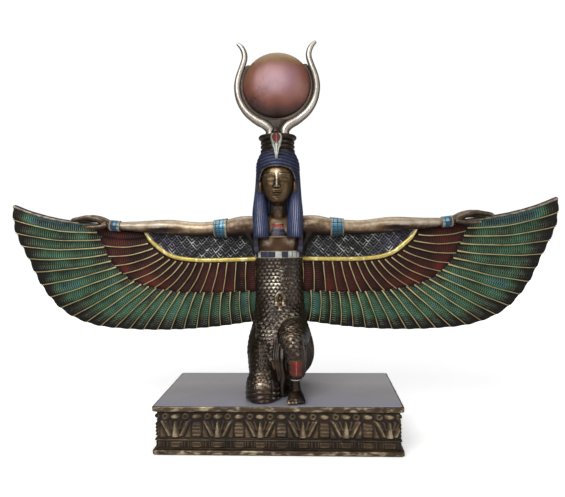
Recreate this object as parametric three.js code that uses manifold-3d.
// Winged goddess kneeling on a lotus plinth: a cold-cast figurine, in millimetres, +Z up.
// The origin is the centre of the plinth's underside. She faces -Y, and +X is her left side.
import * as THREE from 'three';
import { mergeVertices } from 'three/addons/utils/BufferGeometryUtils.js';
import Module from 'manifold-3d';

const wasm = await Module();
wasm.setup();

// Plinth
const PLINTH_WIDTH = 164;
const PLINTH_DEPTH = 88;
const PLINTH_HEIGHT = 32.5;
const PLINTH_CORNER = 1.6;
const REGISTER_BOTTOM = 4.1;
const REGISTER_TOP = 9.0;
const FRIEZE_BOTTOM = 10.6;
const FRIEZE_TOP = 27.6;
const FRIEZE_INSET = 2.6;
const RELIEF = 1.4;
const ROOTED = 0.6;
const BLOCK_HALF = 3.1;
const BLOCK_SINK = 0.4;
const FRONT_CLUMPS = 6;
const SIDE_CLUMPS = 3;

// Front foot
const TOES_X = 12.7;
const TOES_Y = -41;
const TOE_PITCH = 2.4;
const TOE_RADII = [1.5, 1.25, 1.2, 1.15, 1.05];

// Wings
const WING_FRONT = 10;
const WING_BACK = 14.4;
const FEATHER_STEP = 0.16;
const WING_ROOT = 11.5;
const WING_TOP = 150;
const SWEEP_START = 20;
const SWEEP_END = 200;
const SWEEP_DEPTH = 5;
const GREEN_FEATHERS = 25;
const RED_FEATHERS = 18;
const GREEN_EASE = 0.45;
const RED_EASE = 0.5;
const QUILL_RISE = 0.9;
const TIER_STEP = 0.9;
const FIELD_FACE = WING_FRONT - 0.9;
const BAND_FOOT = WING_FRONT - 1.2;
const LATTICE_RISE = 0.8;
const BAND_HALF = 1.2;
const BAND_RISE = 1.4;
const UNDER_ARM = WING_FRONT - 1.6;
const BAND_STEPS = 14;
const FIELD_ROWS = 5;
const JOINT_GAP = 0.3;

// Head and crown
const HEAD_Y = 3.5;
const MODIUS_TOP = 214.4;
const CROWN_FOOT = 214.7;
const DISC_RADIUS = 24.4;
const WEB_RADIUS = 26.6;
const DISC_Z = 249.3;
const DISC_HALF_DEPTH = 8;
const WEB_HALF_DEPTH = 0.9;
const STEM_HALF_DEPTH = 2;
const STEM_FOOT = 5;
const STEM_TOP = 9;
const STEM_Z = 225;

// Outlines of the wing on +X, as X and Z
const OUTER_EDGE = [[198.5, 167], [196.8, 148], [187.3, 126.5], [177, 105.2], [161.3, 87.4], [139.5, 77.4],
  [112, 73.8], [80, 73.2], [49, 75.2], [18, 79.4], [8, 81]];
const RED_EDGE = [[137, 152], [130.5, 138], [123.5, 123.6], [107.5, 110], [84, 103.2], [60, 101.2],
  [36, 101.4], [8, 103]];
const GOLD_BAND = [[99.2, 147.6], [97, 143], [92.5, 137.6], [80, 128.6], [62, 125.3], [36, 125.2],
  [8, 126]];
const TOP_EDGE = [[198.5, 167], [184, 161.2], [170, 157.2], [154, 154.2], [136, 152], [100, 150.4],
  [8, 150]];

function material(color, roughness, metalness) {
  return new THREE.MeshStandardMaterial({ color, roughness, metalness });
}

// Turns a closed geometry into a solid, with its shared points merged
function solidOf(geometry) {
  const bare = new THREE.BufferGeometry();
  bare.setAttribute('position', geometry.getAttribute('position'));
  if (geometry.index) {
    bare.setIndex(geometry.index);
  }
  const merged = mergeVertices(bare, 1e-4);
  return new wasm.Manifold(new wasm.Mesh({
    numProp: 3,
    vertProperties: new Float32Array(merged.getAttribute('position').array),
    triVerts: new Uint32Array(merged.index.array),
  }));
}

// Builds a solid from points and triangles, turned so that its faces point outwards
function shell(points, faces) {
  let volume = 0;
  for (let i = 0; i < faces.length; i += 3) {
    const [a, b, c] = [points[faces[i]], points[faces[i + 1]], points[faces[i + 2]]];
    volume += a.dot(b.clone().cross(c));
  }
  const ordered = volume < 0 ? faces.slice().reverse() : faces;
  const geometry = new THREE.BufferGeometry();
  const numbers = points.flatMap((point) => point.toArray());
  geometry.setAttribute('position', new THREE.Float32BufferAttribute(numbers, 3));
  geometry.setIndex(ordered);
  return solidOf(geometry);
}

// Skins rings of equal length into one closed body, each end closed by a flat fan
function loft(rings) {
  const sides = rings[0].length;
  const last = (rings.length - 1) * sides;
  const faces = [];
  for (let side = 0; side < sides; side++) {
    const next = (side + 1) % sides;
    for (let row = 0; row < last; row += sides) {
      faces.push(row + side, row + next, row + sides + next);
      faces.push(row + side, row + sides + next, row + sides + side);
    }
  }
  for (let side = 1; side + 1 < sides; side++) {
    faces.push(0, side + 1, side);
    faces.push(last, last + side, last + side + 1);
  }
  return shell(rings.flat(), faces);
}

// A ring of points on a superellipse: power 2 is an ellipse, higher is squarer
function ring(centre, across, along, halfAcross, halfAlong, sides, power) {
  const points = [];
  for (let side = 0; side < sides; side++) {
    const angle = (2 * Math.PI * (side + 0.5)) / sides;
    const c = Math.cos(angle);
    const s = Math.sin(angle);
    const a = Math.sign(c) * Math.abs(c) ** (2 / power) * halfAcross;
    const b = Math.sign(s) * Math.abs(s) ** (2 / power) * halfAlong;
    points.push(centre.clone().addScaledVector(across, a).addScaledVector(along, b));
  }
  return points;
}

const X_AXIS = new THREE.Vector3(1, 0, 0);
const Y_AXIS = new THREE.Vector3(0, 1, 0);

// Level sections up the body: each is [z, x, y, half width, half depth]
function column(sections, sides = 16, power = 2.2) {
  return loft(sections.map(([z, x, y, halfWidth, halfDepth]) => (
    ring(new THREE.Vector3(x, y, z), X_AXIS, Y_AXIS, halfWidth, halfDepth, sides, power)
  )));
}

// A limb through stations [x, y, z, half size along the reference, half size across it]
function limb(stations, reference, sides = 10, power = 2) {
  const centres = stations.map(([x, y, z]) => new THREE.Vector3(x, y, z));
  return loft(stations.map((station, i) => {
    const before = centres[Math.max(i - 1, 0)];
    const after = centres[Math.min(i + 1, centres.length - 1)];
    const ahead = after.clone().sub(before).normalize();
    const across = reference.clone().addScaledVector(ahead, -reference.dot(ahead)).normalize();
    const along = ahead.clone().cross(across);
    return ring(centres[i], across, along, station[3], station[4], sides, power);
  }));
}

function mirror(stations) {
  return stations.map(([x, ...rest]) => [-x, ...rest]);
}

function mirrorSections(sections) {
  return sections.map(([z, x, ...rest]) => [z, -x, ...rest]);
}

function union(solids) {
  return solids.reduce((whole, solid) => whole.add(solid));
}

// An egg: an ellipsoid by its centre and three half sizes
function egg([x, y, z], [a, b, c], sides = 10, rows = 6) {
  const sphere = new THREE.SphereGeometry(1, sides, rows);
  sphere.rotateX(Math.PI / 2);
  sphere.scale(a, b, c);
  sphere.translate(x, y, z);
  return solidOf(sphere);
}

// A flat plate with its outline in X and Z, between two depths in Y
function plate(outline, front, back) {
  const shape = new THREE.Shape(outline.map(([x, z]) => new THREE.Vector2(x, z)));
  const geometry = new THREE.ExtrudeGeometry(shape, { depth: back - front, bevelEnabled: false });
  geometry.rotateX(Math.PI / 2);
  geometry.translate(0, back, 0);
  return solidOf(geometry);
}

function spline(points) {
  return new THREE.SplineCurve(points.map(([x, z]) => new THREE.Vector2(x, z)));
}

const outerEdge = spline(OUTER_EDGE);
const redEdge = spline(RED_EDGE);
const goldBand = spline(GOLD_BAND);
const topEdge = spline(TOP_EDGE);

// The same solid with every point moved by a rule
function reshaped(solid, rule) {
  const mesh = solid.getMesh();
  const points = [];
  for (let i = 0; i < mesh.vertProperties.length; i += 3) {
    points.push(rule(new THREE.Vector3(...mesh.vertProperties.slice(i, i + 3))));
  }
  return shell(points, Array.from(mesh.triVerts));
}

// Bows the wings and arms gently forward, more towards the tips
function sweepForward(solid) {
  return reshaped(solid, (point) => {
    const reach = Math.max(Math.abs(point.x) - SWEEP_START, 0) / (SWEEP_END - SWEEP_START);
    return point.setY(point.y - SWEEP_DEPTH * reach * reach);
  });
}

// The same solid on the other side of the body
function mirrored(solid) {
  return reshaped(solid, (point) => point.setX(-point.x));
}

// Turns a block about +Z and sets its front face out at the given reach
function placed(block, turn, reach) {
  const up = new THREE.Vector3(0, 0, 1);
  return reshaped(block, (point) => point.setY(point.y - reach).applyAxisAngle(up, turn));
}

// Collects rows of points and the strips of triangles between them
class Skin {
  constructor() {
    this.points = [];
    this.faces = [];
  }

  row(points) {
    const start = this.points.length;
    this.points.push(...points);
    return points.map((_, i) => start + i);
  }

  // How far along its row each point lies, from 0 to 1
  shares(row, evenly) {
    if (evenly) {
      return row.map((_, i) => i / (row.length - 1));
    }
    const along = [0];
    for (let i = 1; i < row.length; i++) {
      along.push(along[i - 1] + this.points[row[i]].distanceTo(this.points[row[i - 1]]));
    }
    return along.map((length) => length / along.at(-1));
  }

  // Joins two rows by a strip that walks along both at once
  stitch(a, b) {
    const evenly = a.length === b.length;
    const [shareA, shareB] = [this.shares(a, evenly), this.shares(b, evenly)];
    let [i, j] = [0, 0];
    while (i + 1 < a.length || j + 1 < b.length) {
      if (j + 1 === b.length || (i + 1 < a.length && shareA[i + 1] <= shareB[j + 1])) {
        this.faces.push(a[i], b[j], a[i + 1]);
        i += 1;
      } else {
        this.faces.push(a[i], b[j], b[j + 1]);
        j += 1;
      }
    }
  }

  // Joins each row to the next, and the last one to the first
  wrap(rows) {
    rows.forEach((row, i) => this.stitch(row, rows[(i + 1) % rows.length]));
  }

  solid() {
    return shell(this.points, this.faces);
  }
}

// Rows of points across a tier of feathers between two curves. Each feather rises to its quill
// and drops past it, and its end is notched there
function featherRows({ inner, outer, count, ease, bow, rows, face, rise, notch }) {
  return rows.map((v, row) => {
    const points = [];
    for (let feather = 0; feather <= count; feather++) {
      for (const past of feather < count ? [0, FEATHER_STEP] : [0]) {
        const u = (feather + past) / count;
        const from = inner.getPointAt(u);
        const chord = outer.getPointAt(Math.min(u + ease * u * (1 - u), 1)).sub(from);
        const sag = new THREE.Vector2(chord.y, -chord.x).multiplyScalar(4 * bow(u) * v * (1 - v));
        const reach = row === rows.length - 1 && past ? v - notch : v;
        const point = from.clone().addScaledVector(chord, reach).add(sag);
        points.push(new THREE.Vector3(point.x, face - (past ? 0 : rise), point.y));
      }
    }
    return points;
  });
}

// A rib along part of a curve in the wing's plane
function rib(curve, from, to, steps, y, halfWidth, halfDepth) {
  const stations = [];
  for (let i = 0; i <= steps; i++) {
    const p = curve.getPointAt(from + ((to - from) * i) / steps);
    stations.push([p.x, y, p.y, halfDepth, halfWidth]);
  }
  return limb(stations, Y_AXIS, 5);
}

function greenBow(u) {
  return u < 0.4 ? 0.055 * (1 - u / 0.4) : -0.09 * (u - 0.4);
}

function redBow(u) {
  return u < 0.55 ? 0.06 : 0.06 * (1 - (u - 0.55) / 0.25);
}

// Sinks the back's upper edge to the wing's top edge
function backBow(u) {
  return u < 0.3 ? 0.04 * (1 - u / 0.3) : 0;
}

// Points along the gold band, moved off its middle line, with the band sunk where the arm lies over it
function bandRow(offset, y) {
  const points = [];
  for (let i = 0; i <= BAND_STEPS; i++) {
    const p = goldBand.getPointAt(i / BAND_STEPS);
    const ahead = goldBand.getTangentAt(i / BAND_STEPS);
    const depth = i < 2 ? Math.max(y, UNDER_ARM) : y;
    points.push(new THREE.Vector3(p.x - ahead.y * offset, depth, p.y + ahead.x * offset));
  }
  return points;
}

// Rows of the field of scale feathers between the arm and the band, raised in a diamond lattice
function fieldRows() {
  const low = bandRow(-BAND_HALF, BAND_FOOT);
  const rows = [];
  for (let row = 0; row < FIELD_ROWS; row++) {
    const share = row / FIELD_ROWS;
    rows.push(low.map((point, i) => {
      const top = new THREE.Vector3(point.x, 0, WING_TOP);
      const lattice = row > 0 && (row + i) % 2 ? LATTICE_RISE : 0;
      return top.lerp(point, share).setY(FIELD_FACE - lattice);
    }));
  }
  return rows;
}

// Scale field, gold band, red tier and green tier in front, one plainer tier of long feathers behind
function wing() {
  const red = featherRows({
    inner: goldBand, outer: redEdge, count: RED_FEATHERS, ease: RED_EASE, bow: redBow,
    rows: [0.03, 1.02], face: WING_FRONT - TIER_STEP, rise: QUILL_RISE, notch: 0.06,
  });
  const green = featherRows({
    inner: redEdge, outer: outerEdge, count: GREEN_FEATHERS, ease: GREEN_EASE, bow: greenBow,
    rows: [0, 0.5, 1], face: WING_FRONT, rise: QUILL_RISE, notch: 0.03,
  });
  const behind = featherRows({
    inner: goldBand, outer: outerEdge, count: GREEN_FEATHERS, ease: GREEN_EASE, bow: backBow,
    rows: [1, 0.5, 0], face: WING_BACK, rise: -QUILL_RISE / 2, notch: 0,
  });
  behind[0] = green[2].map((point, i) => point.clone().setY(behind[0][i].y));
  const fieldBack = fieldRows()[0].map((point) => point.setY(WING_BACK + 0.3));
  const bandTop = BAND_FOOT - BAND_RISE;
  const band = [bandRow(-BAND_HALF, BAND_FOOT), bandRow(-BAND_HALF, bandTop), bandRow(BAND_HALF, bandTop)];
  const front = [...fieldRows(), ...band, ...red, ...green];
  const skin = new Skin();
  const rows = [...front, ...behind, fieldBack].map((points) => skin.row(points));
  skin.wrap(rows);
  const inFront = rows.slice(0, front.length);
  const atBack = rows.slice(front.length).reverse();
  skin.stitch(inFront.map((row) => row[0]), atBack.map((row) => row[0]));
  skin.stitch(atBack.map((row) => row.at(-1)), inFront.map((row) => row.at(-1)));
  const rim = rib(topEdge, 0, 0.93, 8, (WING_FRONT + WING_BACK) / 2, 1.6, 2.9);
  const beyond = plate([[0, 60], [WING_ROOT, 60], [WING_ROOT, 170], [0, 170]], 0, 24);
  return skin.solid().add(rim).subtract(beyond);
}

// The seat in her back and shoulder that a wing's root is set into
function wingSeat() {
  const outline = [];
  for (let i = 0; i <= 6; i++) {
    const p = outerEdge.getPointAt(0.9 + 0.016 * i);
    outline.push([p.x, p.y - JOINT_GAP - 0.8]);
  }
  const root = WING_ROOT - JOINT_GAP;
  const floor = outline.at(-1)[1];
  const inside = outline.filter(([x]) => x > root);
  const top = WING_TOP + 2.2;
  const seat = [...inside, [root, floor], [root, top], [inside[0][0], top]];
  return plate(seat, BAND_FOOT - BAND_RISE - JOINT_GAP, WING_BACK + 4);
}

// Torso and hips, with the belt standing proud under the breast
function torso() {
  return column([
    [32.2, -3, 8, 13, 13], [40, -1.5, 9, 17.5, 16.5], [48, 0, 9, 22.3, 17.5], [57, 0, 8.5, 24.4, 18],
    [68, 0, 7, 23, 17.5], [80, 0, 5.5, 19.6, 14.5], [94, 0, 5, 17.8, 12], [112, 0, 5, 17.2, 11.2],
    [126.6, 0, 5, 17, 11.1], [126.9, 0, 5, 17.8, 12], [131.7, 0, 5, 17.9, 12.2], [132, 0, 5, 17, 11.3],
    [147, 0, 5.2, 19, 10.8], [153, 0, 5.6, 16.5, 8.4], [157, 0, 5.8, 10, 6.4],
  ], 14, 2.3);
}

// Right leg: knee on the plinth, shin and foot folded back under the seat
function rightLeg() {
  const thigh = limb([[-11, 10, 66, 12, 14], [-11.2, -10, 59, 12, 13], [-10.9, -30, 45, 10.4, 8.8]],
    X_AXIS, 12);
  const knee = column([[32.2, -10.6, -24.5, 11.6, 14.5], [35, -10.6, -24.5, 12, 15.2],
    [36.8, -10.6, -24.5, 11.2, 14.5], [39.6, -10.6, -24.5, 11.7, 15], [41, -10.8, -24.6, 11.2, 14.4],
    [46, -10.8, -24.8, 11.2, 14.4], [54, -10.8, -21, 9.5, 9]], 12);
  const shin = limb([[-10.5, -22, 41, 9.4, 9.2], [-10.5, 8, 40.5, 8.4, 8.4], [-10, 30, 40.5, 4.4, 5.4]],
    X_AXIS, 10);
  const foot = limb([[-10, 27.5, 51, 4, 3.6], [-10, 32.5, 44, 4.6, 3.8], [-10, 36, 34.4, 5.2, 2.2]],
    X_AXIS, 8);
  const toes = limb([[-10, 34, 34.4, 5, 1.6], [-10, 39, 33.9, 4.6, 1.2]], X_AXIS, 8);
  return union([thigh, knee, shin, foot, toes]);
}

// Five toes side by side, the great toe towards the middle of the body
function frontToes() {
  return TOE_RADII.map((radius, i) => {
    const across = TOES_X + (i - 2) * TOE_PITCH;
    const tip = TOES_Y - 1.6 + 0.5 * i;
    return limb([[across, TOES_Y + 3, 34.4, radius, 1.5], [across, tip, 33.7, radius, 1]], X_AXIS, 4, 3);
  });
}

// Left leg: knee raised in front, shin upright to the red hem, bare foot flat at the plinth's edge
function leftLeg() {
  const thigh = limb([[10.5, 8, 68, 12.4, 14], [10.6, -12, 74, 11, 12], [10.2, -26, 76.5, 8.6, 9],
    [10.1, -33.6, 75, 6, 6.4]], X_AXIS, 12);
  const shin = limb([[10.1, -31.5, 79, 6.8, 7.4], [10.8, -32, 66, 7, 7.8], [12.4, -31.2, 51.6, 5.8, 6.6],
    [12.4, -31, 50, 6.2, 7], [12.2, -30.6, 49.8, 3.6, 3.9], [12.1, -29.6, 45, 2.9, 3.3],
    [12.1, -28.6, 37, 3.8, 4.6]], X_AXIS, 10);
  const drape = limb([[12, -20, 66, 7, 10], [12.6, -16, 54, 6.2, 10], [12, -18, 46, 4.4, 7.5]], X_AXIS, 8);
  const foot = limb([[12.1, -22, 35.4, 3.2, 3.2], [12.3, -30.5, 36.4, 4.8, 4.4],
    [TOES_X, -39.4, 34.2, 6.2, 2]], X_AXIS, 8);
  return union([thigh, shin, drape, foot, ...frontToes()]);
}

// The dress where it hangs between the legs and gathers round the knee, and the knot at her waist
function lap() {
  const web = column([[32.2, -0.5, -13, 9.5, 12], [46, 0, -14, 11, 14], [62, 0, -12, 11.5, 15],
    [84, 0, -3, 8, 9]], 10);
  const knot = egg([0, -7.4, 94.6], [5, 2.2, 6.4], 8, 4);
  return web.add(knot);
}

// Shoulder to palm, with the armband and the bracelet standing proud
const ARM = [[8, 5, 149.5, 7, 6.8], [18, 4, 149.4, 7.2, 7.5], [27, 2.6, 149.6, 6.3, 7.2],
  [36.8, 2.3, 148.4, 5.7, 6.2], [37, 1.9, 148.4, 6.1, 6.8], [46.5, 2.3, 148.3, 5.7, 5.6],
  [46.7, 2.8, 148.3, 5.2, 4.9], [60, 3, 147.8, 5, 5.2], [80, 3, 149.5, 5.2, 5.5],
  [100, 3.8, 150.1, 4.3, 4.1], [115.8, 4.7, 150.8, 3.4, 3.1], [116, 4.3, 150.8, 3.7, 3.7],
  [123, 4.2, 151.5, 3.8, 3.8], [123.2, 4.6, 151.5, 3.4, 3.2], [129, 4, 154.2, 4.2, 3.4],
  [136.5, 3.8, 157, 4.3, 2.3], [141, 3.8, 156.6, 4.3, 1.8]];
const THUMB = [[127, 1.6, 152.2, 2, 2.2], [134, 0.6, 150.6, 1.5, 1.5], [142.5, 1, 150.2, 1, 1]];
const FINGERS = 4;
const FINGER_PITCH = 2.15;

function finger(index) {
  const y = 3.8 + (index - (FINGERS - 1) / 2) * FINGER_PITCH;
  const tip = 153.6 - 1.2 * Math.abs(index - 1);
  return [[137, y, 157.2, 1.15, 1.7], [tip, y, 154.9, 0.85, 0.9]];
}

function arm(turned) {
  const parts = [limb(turned(ARM), Y_AXIS, 7), limb(turned(THUMB), Y_AXIS, 5)];
  for (let index = 0; index < FINGERS; index++) {
    parts.push(limb(turned(finger(index)), Y_AXIS, 4));
  }
  return union(parts);
}

function head() {
  const neck = column([[150, 0, 3.6, 6.2, 6.2], [170, 0, 0.5, 5.8, 6.2]], 10);
  const skull = column([[164.2, 0, -4.6, 3.2, 4.4], [166.6, 0, -4.2, 6.2, 6.6], [170.4, 0, -3, 8.8, 8.6],
    [176, 0, -1.7, 10.7, 10], [183, 0, -0.6, 11.7, 10.9], [193, 0, 1.4, 11.2, 11.2]], 14);
  const nose = limb([[0, -11.2, 184.4, 0.8, 0.8], [0, -12.6, 177, 1.7, 1.2]], X_AXIS, 5);
  const mouth = egg([0, -10.9, 172], [3.2, 1.6, 1.1], 6, 3);
  const chin = egg([0, -10.4, 167.4], [3.4, 2, 2.2], 6, 3);
  const features = [nose, mouth, chin];
  for (const side of [-1, 1]) {
    features.push(egg([side * 4.8, -10, 182], [2.7, 1.5, 1], 6, 3));
    features.push(egg([side * 4.8, -10.1, 185.2], [3.5, 1.5, 0.7], 6, 3));
    features.push(egg([side * 12.3, -4, 179], [1.3, 1.8, 3.4], 6, 3));
  }
  return union([neck, skull, ...features]);
}

// Striated wig: a cap above the brow, a mass down the back and two lappets on the chest
function wig() {
  const cap = column([[189.4, 0, 2.4, 15.6, 15.4], [194, 0, 2.7, 15.3, 15], [198.5, 0, 3.1, 13.8, 13.2],
    [202.4, 0, HEAD_Y, 11.8, 11.8]], 14, 2.1);
  const back = column([[141, 0, 12.5, 14.5, 6], [150, 0, 11.5, 16, 6.8], [162, 0, 9.6, 16.2, 8.6],
    [180, 0, 6.2, 15.4, 11.4], [190, 0, 5.5, 15.2, 12]], 14, 2.3);
  const lappet = [[141.2, 11.6, -8.2, 5, 2.9], [150, 11.9, -7.8, 5.2, 3.2], [158, 12.6, -6.6, 5.1, 4],
    [167, 12.6, -5, 4.2, 5], [190, 12.8, 0, 2.6, 7]];
  return union([cap, back, lappetWithLocks(lappet), lappetWithLocks(mirrorSections(lappet))]);
}

// A lappet whose outline rises and falls in locks
function lappetWithLocks(sections) {
  const sides = 10;
  return loft(sections.map(([z, x, y, halfWidth, halfDepth]) => {
    const centre = new THREE.Vector3(x, y, z);
    const outline = ring(centre, X_AXIS, Y_AXIS, halfWidth, halfDepth, sides, 2.6);
    return outline.map((point, i) => (i % 2 ? point : point.lerp(centre, 0.1)));
  }));
}

function modius() {
  const profile = [[0, 201], [12.3, 201], [12.3, 203.6], [11.4, 204.6], [12.1, 206.6], [11.4, 207.6],
    [12, 210.2], [13.6, 211.4], [13.6, 213.4], [12, MODIUS_TOP], [0, MODIUS_TOP]];
  const geometry = new THREE.LatheGeometry(profile.map(([r, z]) => new THREE.Vector2(r, z)), 14);
  geometry.rotateX(Math.PI / 2);
  geometry.translate(0, HEAD_Y, 0);
  return solidOf(geometry);
}

// The cobra that rears up the front of the wig and modius
function uraeus() {
  return column([[196, 0, -12, 1, 1.4], [203, 0, -10.4, 1.9, 1.8], [205, 0, -10.2, 3, 1.9],
    [210, 0, -10.6, 4, 2], [213, 0, -11.2, 3.4, 2.2], [215.4, 0, -11.6, 3.2, 2.6],
    [217, 0, -11.8, 2.2, 1.8], [217.8, 0, -11.8, 1.1, 1]], 8);
}

// Broad collar at the throat and the two straps of the dress
function collarAndStraps() {
  const collar = column([[141.8, 0, 3.4, 11.6, 10.6], [148, 0, 3.2, 8.6, 8.8], [151, 0, 3.2, 7, 7.4]],
    12, 2.2);
  const strap = [[15, -3.6, 130, 1.8, 2.4], [15.6, -3, 146, 1.8, 2.6], [15.6, 1, 154.6, 1.8, 2.2]];
  return union([collar, limb(strap, X_AXIS, 5), limb(mirror(strap), X_AXIS, 5)]);
}

// The whole casting, cut for the wings' seats and level where she kneels on the plinth
function figure() {
  const leftArm = arm((stations) => stations);
  const rightArm = arm(mirror);
  const seat = wingSeat();
  const body = union([torso(), rightLeg(), leftLeg(), lap(), leftArm, rightArm, head(), wig(),
    modius(), uraeus(), collarAndStraps()]);
  const floor = PLINTH_HEIGHT + JOINT_GAP;
  const below = plate([[-60, 0], [60, 0], [60, floor], [-60, floor]], -60, 60);
  return body.subtract(seat).subtract(mirrored(seat)).subtract(below);
}

// Rounded-corner rectangle at one height, inset from the plinth's full size
function plinthRing(z, inset) {
  const x = PLINTH_WIDTH / 2 - inset;
  const y = PLINTH_DEPTH / 2 - inset;
  const [cutX, cutY] = [x - PLINTH_CORNER, y - PLINTH_CORNER];
  const corners = [[x, cutY], [cutX, y], [-cutX, y], [-x, cutY], [-x, -cutY], [-cutX, -y], [cutX, -y],
    [x, -cutY]];
  return corners.map(([px, py]) => new THREE.Vector3(px, py, z));
}

function plinthCore() {
  const profile = [[0, 0.9], [0.9, 0], [3.2, 0], [REGISTER_BOTTOM, 2.2], [REGISTER_TOP, 2.2], [9.3, 1.3],
    [10.3, 1.3], [FRIEZE_BOTTOM, FRIEZE_INSET], [FRIEZE_TOP, FRIEZE_INSET], [28.4, 1.7], [28.9, 0.3],
    [29.6, 0], [31.6, 0], [PLINTH_HEIGHT, 0.9]];
  return loft(profile.map(([z, inset]) => plinthRing(z, inset)));
}

// Raised shapes of one lotus clump and the barrel beside it, as outlines about their own centre
function lotusShapes(period, plain) {
  const bottom = FRIEZE_BOTTOM + 1;
  const bud = [[-2.4, bottom], [2.4, bottom], [2.5, bottom + 2.4], [0, bottom + 10.4],
    [-2.5, bottom + 2.4]];
  const blade = [[3, bottom], [4.6, bottom], [9.2, bottom + 10.6], [7.6, bottom + 11]];
  const barrel = [[-3.4, bottom], [3.4, bottom], [3, bottom + 9], [-3, bottom + 9]];
  const flip = (outline) => outline.map(([s, z]) => [-s, z]).reverse();
  const shift = (outline) => outline.map(([s, z]) => [s + period / 2, z]);
  const shapes = [bud, blade, flip(blade), shift(barrel)];
  if (!plain) {
    const leaf = [[6.4, bottom], [9.8, bottom], [9.6, bottom + 7.4]];
    const oval = [[-2.8, 25.4], [-1.6, 24], [1.6, 24], [2.8, 25.4], [1.6, 26.8], [-1.6, 26.8]];
    shapes.push(leaf, flip(leaf), oval, shift(oval));
  }
  return shapes;
}

// The outline of a block of the lower register, centred at s
function registerBlock(s) {
  const [low, high] = [REGISTER_BOTTOM + 0.7, REGISTER_TOP - 0.6];
  return [[s - BLOCK_HALF, low], [s + BLOCK_HALF, low], [s + BLOCK_HALF, high], [s - BLOCK_HALF, high]];
}

// A row of clumps along one side, raised from the recessed field
function friezeRow({ length, clumps, plain, turn, reach }) {
  const period = length / clumps;
  const blocks = [];
  for (let clump = 0; clump < clumps; clump++) {
    const centre = (clump - (clumps - 1) / 2) * period;
    const shapes = lotusShapes(period, plain).map((outline) => outline.map(([s, z]) => [s + centre, z]));
    const inside = shapes.filter((outline) => outline.every(([s]) => s < length / 2));
    blocks.push(...inside.map((outline) => plate(outline, 0, RELIEF + ROOTED)));
    if (!plain) {
      const places = [centre, centre + period / 2].filter((s) => s + BLOCK_HALF < length / 2);
      blocks.push(...places.map((s) => plate(registerBlock(s), BLOCK_SINK, RELIEF + ROOTED)));
    }
  }
  return blocks.map((block) => placed(block, turn, reach));
}

function plinth() {
  const length = PLINTH_WIDTH - 2 * FRIEZE_INSET;
  const depth = PLINTH_DEPTH - 2 * FRIEZE_INSET;
  const long = { length, clumps: FRONT_CLUMPS, reach: depth / 2 + RELIEF };
  const short = { length: depth, clumps: SIDE_CLUMPS, plain: true, reach: length / 2 + RELIEF };
  const rows = [
    ...friezeRow({ ...long, plain: false, turn: 0 }),
    ...friezeRow({ ...long, plain: true, turn: Math.PI }),
    ...friezeRow({ ...short, turn: Math.PI / 2 }),
    ...friezeRow({ ...short, turn: -Math.PI / 2 }),
  ];
  return union([plinthCore(), ...rows]);
}

// The thin web that joins the horns to the disc, left open between their tips
function hornWeb() {
  const steps = 14;
  const opening = THREE.MathUtils.degToRad(40);
  const outline = [];
  for (let i = 0; i <= steps; i++) {
    const angle = opening - ((Math.PI + 2 * opening) * i) / steps;
    outline.push([WEB_RADIUS * Math.cos(angle), DISC_Z + WEB_RADIUS * Math.sin(angle)]);
  }
  return plate(outline, HEAD_Y - WEB_HALF_DEPTH, HEAD_Y + WEB_HALF_DEPTH);
}

function sunDisc() {
  const depth = DISC_HALF_DEPTH;
  const profile = [[0, -depth], [9, 0.7 - depth], [16, 2.6 - depth], [22, -2.8], [DISC_RADIUS, -1.2],
    [DISC_RADIUS, 1.2], [22, 2.8], [16, depth - 2.6], [9, depth - 0.7], [0, depth]];
  const lens = new THREE.LatheGeometry(profile.map(([r, y]) => new THREE.Vector2(r, y)), 20);
  lens.translate(0, HEAD_Y, DISC_Z);
  return solidOf(lens);
}

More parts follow.
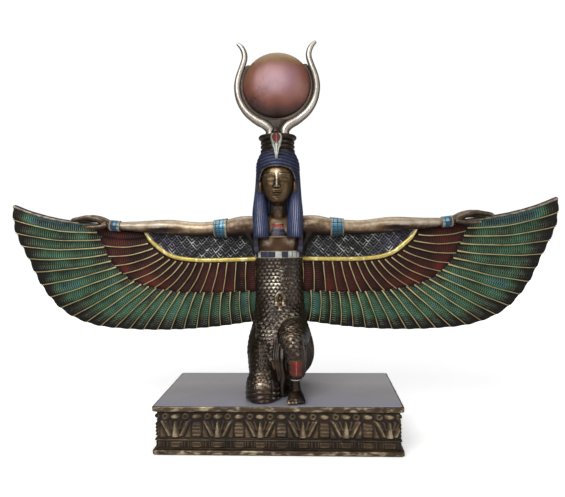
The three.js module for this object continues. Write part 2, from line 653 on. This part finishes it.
// Lyre-shaped horns on a short stem, round the lens-shaped sun disc
function sunCrown() {
  const path = [[5.3, CROWN_FOOT - 1, 3.4, 3.3], [5.3, 218.6, 3.2, 3.3], [9, 222.4, 3.1, 3.2],
    [15.3, 226, 2.9, 2.8], [22.2, 231.8, 2.8, 2.5], [26.8, 239.8, 2.7, 2.5], [28.5, 248.6, 2.6, 2.4],
    [27.5, 256.3, 2.4, 2.3], [24.8, 263.9, 2.2, 2.2], [23.1, 269.4, 2, 2.1], [23.2, 273.4, 1.9, 2],
    [24.9, 277.4, 1.6, 1.8], [27.7, 280.2, 1.1, 1.2]];
  const horn = path.map(([x, z, depth, width]) => [x, HEAD_Y, z, depth, width]);
  const below = plate([[-20, 200], [20, 200], [20, CROWN_FOOT], [-20, CROWN_FOOT]], -20, 20);
  const horns = [limb(horn, Y_AXIS, 7), limb(mirror(horn), Y_AXIS, 7)];
  const foot = CROWN_FOOT - 1;
  const outline = [[-STEM_FOOT, foot], [STEM_FOOT, foot], [STEM_TOP, STEM_Z], [-STEM_TOP, STEM_Z]];
  const stem = plate(outline, HEAD_Y - STEM_HALF_DEPTH, HEAD_Y + STEM_HALF_DEPTH);
  return union([...horns, stem, sunDisc(), hornWeb()]).subtract(below);
}

function geometryOf(solid) {
  const mesh = solid.getMesh();
  const geometry = new THREE.BufferGeometry();
  geometry.setAttribute('position', new THREE.BufferAttribute(mesh.vertProperties, 3));
  geometry.setIndex(new THREE.BufferAttribute(mesh.triVerts, 1));
  geometry.computeVertexNormals();
  return geometry;
}

function addNode(group, name, solid, look) {
  const mesh = new THREE.Mesh(geometryOf(solid), look);
  mesh.name = name;
  group.add(mesh);
}

const agedBronze = material(0x4a3d2c, 0.45, 0.6);
const darkPlinth = material(0x4c4a4e, 0.35, 0.4);
const paintedWing = material(0x2f4a40, 0.5, 0.2);
const crownBronze = material(0x8a7c68, 0.3, 0.8);

const statue = new THREE.Group();
const leftWing = wing();
addNode(statue, 'plinth', plinth(), darkPlinth);
addNode(statue, 'figure', sweepForward(figure()), agedBronze);
addNode(statue, 'wing_left', sweepForward(leftWing), paintedWing);
addNode(statue, 'wing_right', sweepForward(mirrored(leftWing)), paintedWing);
addNode(statue, 'sun_crown', sunCrown(), crownBronze);

export default statue;
